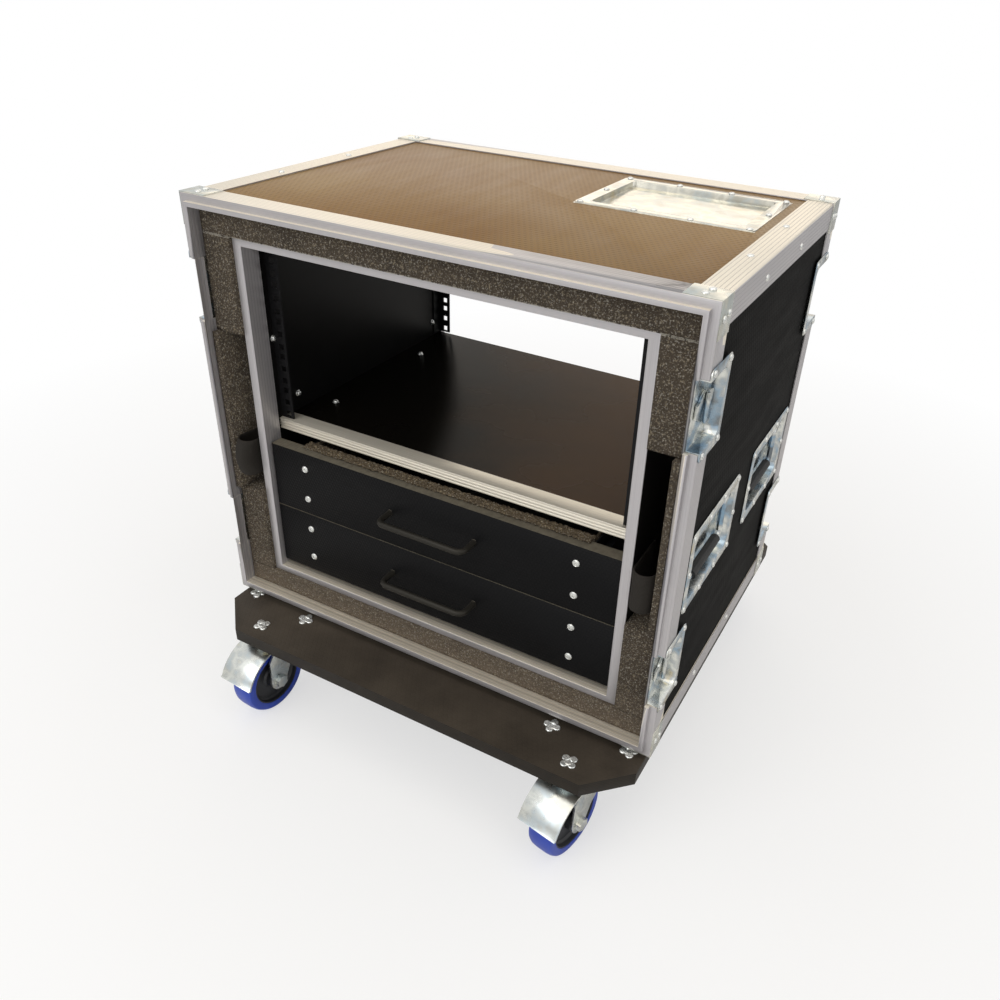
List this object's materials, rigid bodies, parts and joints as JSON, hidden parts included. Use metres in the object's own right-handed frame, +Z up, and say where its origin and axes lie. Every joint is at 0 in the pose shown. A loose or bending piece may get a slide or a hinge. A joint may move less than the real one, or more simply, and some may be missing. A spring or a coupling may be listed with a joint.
{
  "type": "rack case",
  "caption": "Shock-mounted flight case on a caster board: foam-hung rack sleeve with shelf, drawers, butterfly latches, recessed handles and swivel casters.",
  "frame": {"origin": "on the floor, under the middle of the caster board", "axes": "+Z up, +X to the case's right as seen from the front, -Y out of the front opening"},
  "size_m": [0.616, 0.6755, 0.6842],
  "materials": {
    "top_laminate": "matte",
    "side_laminate": "matte",
    "aluminium": "satin",
    "zinc": "polished",
    "foam": "matte",
    "sleeve_laminate": "satin",
    "black_steel": "satin",
    "grip_rubber": "matte",
    "webbing": "satin",
    "board_laminate": "satin",
    "tyre_blue": "satin"
  },
  "bodies": {
    "case": {"top_panel": "top_laminate", "bottom_panel": "side_laminate", "left_panel": "side_laminate", "right_panel": "side_laminate", "front_rim": "aluminium", "rear_rim": "aluminium", "foam_lining": "foam", "sleeve_box": "sleeve_laminate", "sleeve_front_trim": "aluminium", "sleeve_rear_trim": "aluminium", "shelf": "sleeve_laminate", "lift_strap_left": "webbing", "lift_strap_right": "webbing", "caster_board": "board_laminate", "latch_front_left_upper_dish": "zinc", "latch_front_left_lower_dish": "zinc", "handle_dish_front_left": "zinc", "latch_front_right_upper_dish": "zinc", "latch_front_right_lower_dish": "zinc", "handle_dish_front_right": "zinc", "latch_rear_left_upper_dish": "zinc", "latch_rear_left_lower_dish": "zinc", "handle_dish_rear_left": "zinc", "latch_rear_right_upper_dish": "zinc", "latch_rear_right_lower_dish": "zinc", "handle_dish_rear_right": "zinc"},
    "lower_drawer": {"lower_drawer_front": "side_laminate", "lower_drawer_box": "black_steel"},
    "upper_drawer": {"upper_drawer_front": "side_laminate", "upper_drawer_box": "black_steel"},
    "latch_front_left_upper": {"latch_front_left_upper_cam": "zinc"},
    "wing_front_left_upper": {"latch_front_left_upper_wing": "zinc"},
    "latch_front_left_lower": {"latch_front_left_lower_cam": "zinc"},
    "wing_front_left_lower": {"latch_front_left_lower_wing": "zinc"},
    "bail_front_left": {"handle_bail_front_left": "grip_rubber"},
    "latch_front_right_upper": {"latch_front_right_upper_cam": "zinc"},
    "wing_front_right_upper": {"latch_front_right_upper_wing": "zinc"},
    "latch_front_right_lower": {"latch_front_right_lower_cam": "zinc"},
    "wing_front_right_lower": {"latch_front_right_lower_wing": "zinc"},
    "bail_front_right": {"handle_bail_front_right": "grip_rubber"},
    "latch_rear_left_upper": {"latch_rear_left_upper_cam": "zinc"},
    "wing_rear_left_upper": {"latch_rear_left_upper_wing": "zinc"},
    "latch_rear_left_lower": {"latch_rear_left_lower_cam": "zinc"},
    "wing_rear_left_lower": {"latch_rear_left_lower_wing": "zinc"},
    "bail_rear_left": {"handle_bail_rear_left": "grip_rubber"},
    "latch_rear_right_upper": {"latch_rear_right_upper_cam": "zinc"},
    "wing_rear_right_upper": {"latch_rear_right_upper_wing": "zinc"},
    "latch_rear_right_lower": {"latch_rear_right_lower_cam": "zinc"},
    "wing_rear_right_lower": {"latch_rear_right_lower_wing": "zinc"},
    "bail_rear_right": {"handle_bail_rear_right": "grip_rubber"},
    "swivel_front_left": {"caster_fork_front_left": "zinc"},
    "wheel_front_left": {"caster_wheel_front_left": "tyre_blue"},
    "pedal_left": {"brake_pedal_left": "zinc"},
    "swivel_front_right": {"caster_fork_front_right": "zinc"},
    "wheel_front_right": {"caster_wheel_front_right": "tyre_blue"},
    "pedal_right": {"brake_pedal_right": "zinc"},
    "swivel_rear_left": {"caster_fork_rear_left": "zinc"},
    "wheel_rear_left": {"caster_wheel_rear_left": "tyre_blue"},
    "swivel_rear_right": {"caster_fork_rear_right": "zinc"},
    "wheel_rear_right": {"caster_wheel_rear_right": "tyre_blue"}
  },
  "joints": [
    {"name": "lower_drawer_slide", "type": "slide", "parent": "case", "child": "lower_drawer", "axis": [0, -1, 0], "range_m": [0, 0.28]},
    {"name": "upper_drawer_slide", "type": "slide", "parent": "case", "child": "upper_drawer", "axis": [0, -1, 0], "range_m": [0, 0.28]},
    {"name": "latch_front_left_upper_turn", "type": "hinge", "parent": "case", "child": "latch_front_left_upper", "pos_m": [-0.295, -0.21325, 0.576], "axis": [-1, 0, 0], "range_deg": [0, 180]},
    {"name": "wing_front_left_upper_flip", "type": "hinge", "parent": "latch_front_left_upper", "child": "wing_front_left_upper", "pos_m": [-0.3003, -0.21325, 0.576], "axis": [0, 0, 1], "range_deg": [0, 90]},
    {"name": "latch_front_left_lower_turn", "type": "hinge", "parent": "case", "child": "latch_front_left_lower", "pos_m": [-0.295, -0.21325, 0.262], "axis": [-1, 0, 0], "range_deg": [0, 180]},
    {"name": "wing_front_left_lower_flip", "type": "hinge", "parent": "latch_front_left_lower", "child": "wing_front_left_lower", "pos_m": [-0.3003, -0.21325, 0.262], "axis": [0, 0, 1], "range_deg": [0, 90]},
    {"name": "bail_front_left_swing", "type": "hinge", "parent": "case", "child": "bail_front_left", "pos_m": [-0.299, -0.12525, 0.404], "axis": [0, 1, 0], "range_deg": [0, 90], "stiffness_Nm_per_rad": 0.1, "springref_deg": -22.92},
    {"name": "latch_front_right_upper_turn", "type": "hinge", "parent": "case", "child": "latch_front_right_upper", "pos_m": [0.295, -0.21325, 0.576], "axis": [1, 0, 0], "range_deg": [0, 180]},
    {"name": "wing_front_right_upper_flip", "type": "hinge", "parent": "latch_front_right_upper", "child": "wing_front_right_upper", "pos_m": [0.3003, -0.21325, 0.576], "axis": [0, 0, -1], "range_deg": [0, 90]},
    {"name": "latch_front_right_lower_turn", "type": "hinge", "parent": "case", "child": "latch_front_right_lower", "pos_m": [0.295, -0.21325, 0.262], "axis": [1, 0, 0], "range_deg": [0, 180]},
    {"name": "wing_front_right_lower_flip", "type": "hinge", "parent": "latch_front_right_lower", "child": "wing_front_right_lower", "pos_m": [0.3003, -0.21325, 0.262], "axis": [0, 0, -1], "range_deg": [0, 90]},
    {"name": "bail_front_right_swing", "type": "hinge", "parent": "case", "child": "bail_front_right", "pos_m": [0.299, -0.12525, 0.404], "axis": [0, -1, 0], "range_deg": [0, 90], "stiffness_Nm_per_rad": 0.1, "springref_deg": -22.92},
    {"name": "latch_rear_left_upper_turn", "type": "hinge", "parent": "case", "child": "latch_rear_left_upper", "pos_m": [-0.295, 0.16875, 0.576], "axis": [-1, 0, 0], "range_deg": [0, 180]},
    {"name": "wing_rear_left_upper_flip", "type": "hinge", "parent": "latch_rear_left_upper", "child": "wing_rear_left_upper", "pos_m": [-0.3003, 0.16875, 0.576], "axis": [0, 0, -1], "range_deg": [0, 90]},
    {"name": "latch_rear_left_lower_turn", "type": "hinge", "parent": "case", "child": "latch_rear_left_lower", "pos_m": [-0.295, 0.16875, 0.262], "axis": [-1, 0, 0], "range_deg": [0, 180]},
    {"name": "wing_rear_left_lower_flip", "type": "hinge", "parent": "latch_rear_left_lower", "child": "wing_rear_left_lower", "pos_m": [-0.3003, 0.16875, 0.262], "axis": [0, 0, -1], "range_deg": [0, 90]},
    {"name": "bail_rear_left_swing", "type": "hinge", "parent": "case", "child": "bail_rear_left", "pos_m": [-0.299, 0.08075, 0.404], "axis": [0, 1, 0], "range_deg": [0, 90], "stiffness_Nm_per_rad": 0.1, "springref_deg": -22.92},
    {"name": "latch_rear_right_upper_turn", "type": "hinge", "parent": "case", "child": "latch_rear_right_upper", "pos_m": [0.295, 0.16875, 0.576], "axis": [1, 0, 0], "range_deg": [0, 180]},
    {"name": "wing_rear_right_upper_flip", "type": "hinge", "parent": "latch_rear_right_upper", "child": "wing_rear_right_upper", "pos_m": [0.3003, 0.16875, 0.576], "axis": [0, 0, 1], "range_deg": [0, 90]},
    {"name": "latch_rear_right_lower_turn", "type": "hinge", "parent": "case", "child": "latch_rear_right_lower", "pos_m": [0.295, 0.16875, 0.262], "axis": [1, 0, 0], "range_deg": [0, 180]},
    {"name": "wing_rear_right_lower_flip", "type": "hinge", "parent": "latch_rear_right_lower", "child": "wing_rear_right_lower", "pos_m": [0.3003, 0.16875, 0.262], "axis": [0, 0, 1], "range_deg": [0, 90]},
    {"name": "bail_rear_right_swing", "type": "hinge", "parent": "case", "child": "bail_rear_right", "pos_m": [0.299, 0.08075, 0.404], "axis": [0, -1, 0], "range_deg": [0, 90], "stiffness_Nm_per_rad": 0.1, "springref_deg": -22.92},
    {"name": "swivel_front_left_turn", "type": "hinge", "parent": "case", "child": "swivel_front_left", "pos_m": [-0.2335, -0.24225, 0.1135], "axis": [0, 0, 1], "continuous": true},
    {"name": "wheel_front_left_roll", "type": "hinge", "parent": "swivel_front_left", "child": "wheel_front_left", "pos_m": [-0.23629, -0.28215, 0.05], "axis": [0.9976, -0.0698, 0], "continuous": true},
    {"name": "pedal_left_press", "type": "hinge", "parent": "swivel_front_left", "child": "pedal_left", "pos_m": [-0.23629, -0.28215, 0.1089], "axis": [0.9976, -0.0698, 0], "range_deg": [0, 7], "stiffness_Nm_per_rad": 1, "springref_deg": -5.73},
    {"name": "swivel_front_right_turn", "type": "hinge", "parent": "case", "child": "swivel_front_right", "pos_m": [0.2335, -0.24225, 0.1135], "axis": [0, 0, 1], "continuous": true},
    {"name": "wheel_front_right_roll", "type": "hinge", "parent": "swivel_front_right", "child": "wheel_front_right", "pos_m": [0.22655, -0.28164, 0.05], "axis": [0.9848, -0.1736, 0], "continuous": true},
    {"name": "pedal_right_press", "type": "hinge", "parent": "swivel_front_right", "child": "pedal_right", "pos_m": [0.22655, -0.28164, 0.1089], "axis": [0.9848, -0.1736, 0], "range_deg": [0, 7], "stiffness_Nm_per_rad": 1, "springref_deg": -5.73},
    {"name": "swivel_rear_left_turn", "type": "hinge", "parent": "case", "child": "swivel_rear_left", "pos_m": [-0.2335, 0.24225, 0.1135], "axis": [0, 0, 1], "continuous": true},
    {"name": "wheel_rear_left_roll", "type": "hinge", "parent": "swivel_rear_left", "child": "wheel_rear_left", "pos_m": [-0.22655, 0.28164, 0.05], "axis": [-0.9848, 0.1736, 0], "continuous": true},
    {"name": "swivel_rear_right_turn", "type": "hinge", "parent": "case", "child": "swivel_rear_right", "pos_m": [0.2335, 0.24225, 0.1135], "axis": [0, 0, 1], "continuous": true},
    {"name": "wheel_rear_right_roll", "type": "hinge", "parent": "swivel_rear_right", "child": "wheel_rear_right", "pos_m": [0.23629, 0.28215, 0.05], "axis": [-0.9976, 0.0698, 0], "continuous": true}
  ]
}
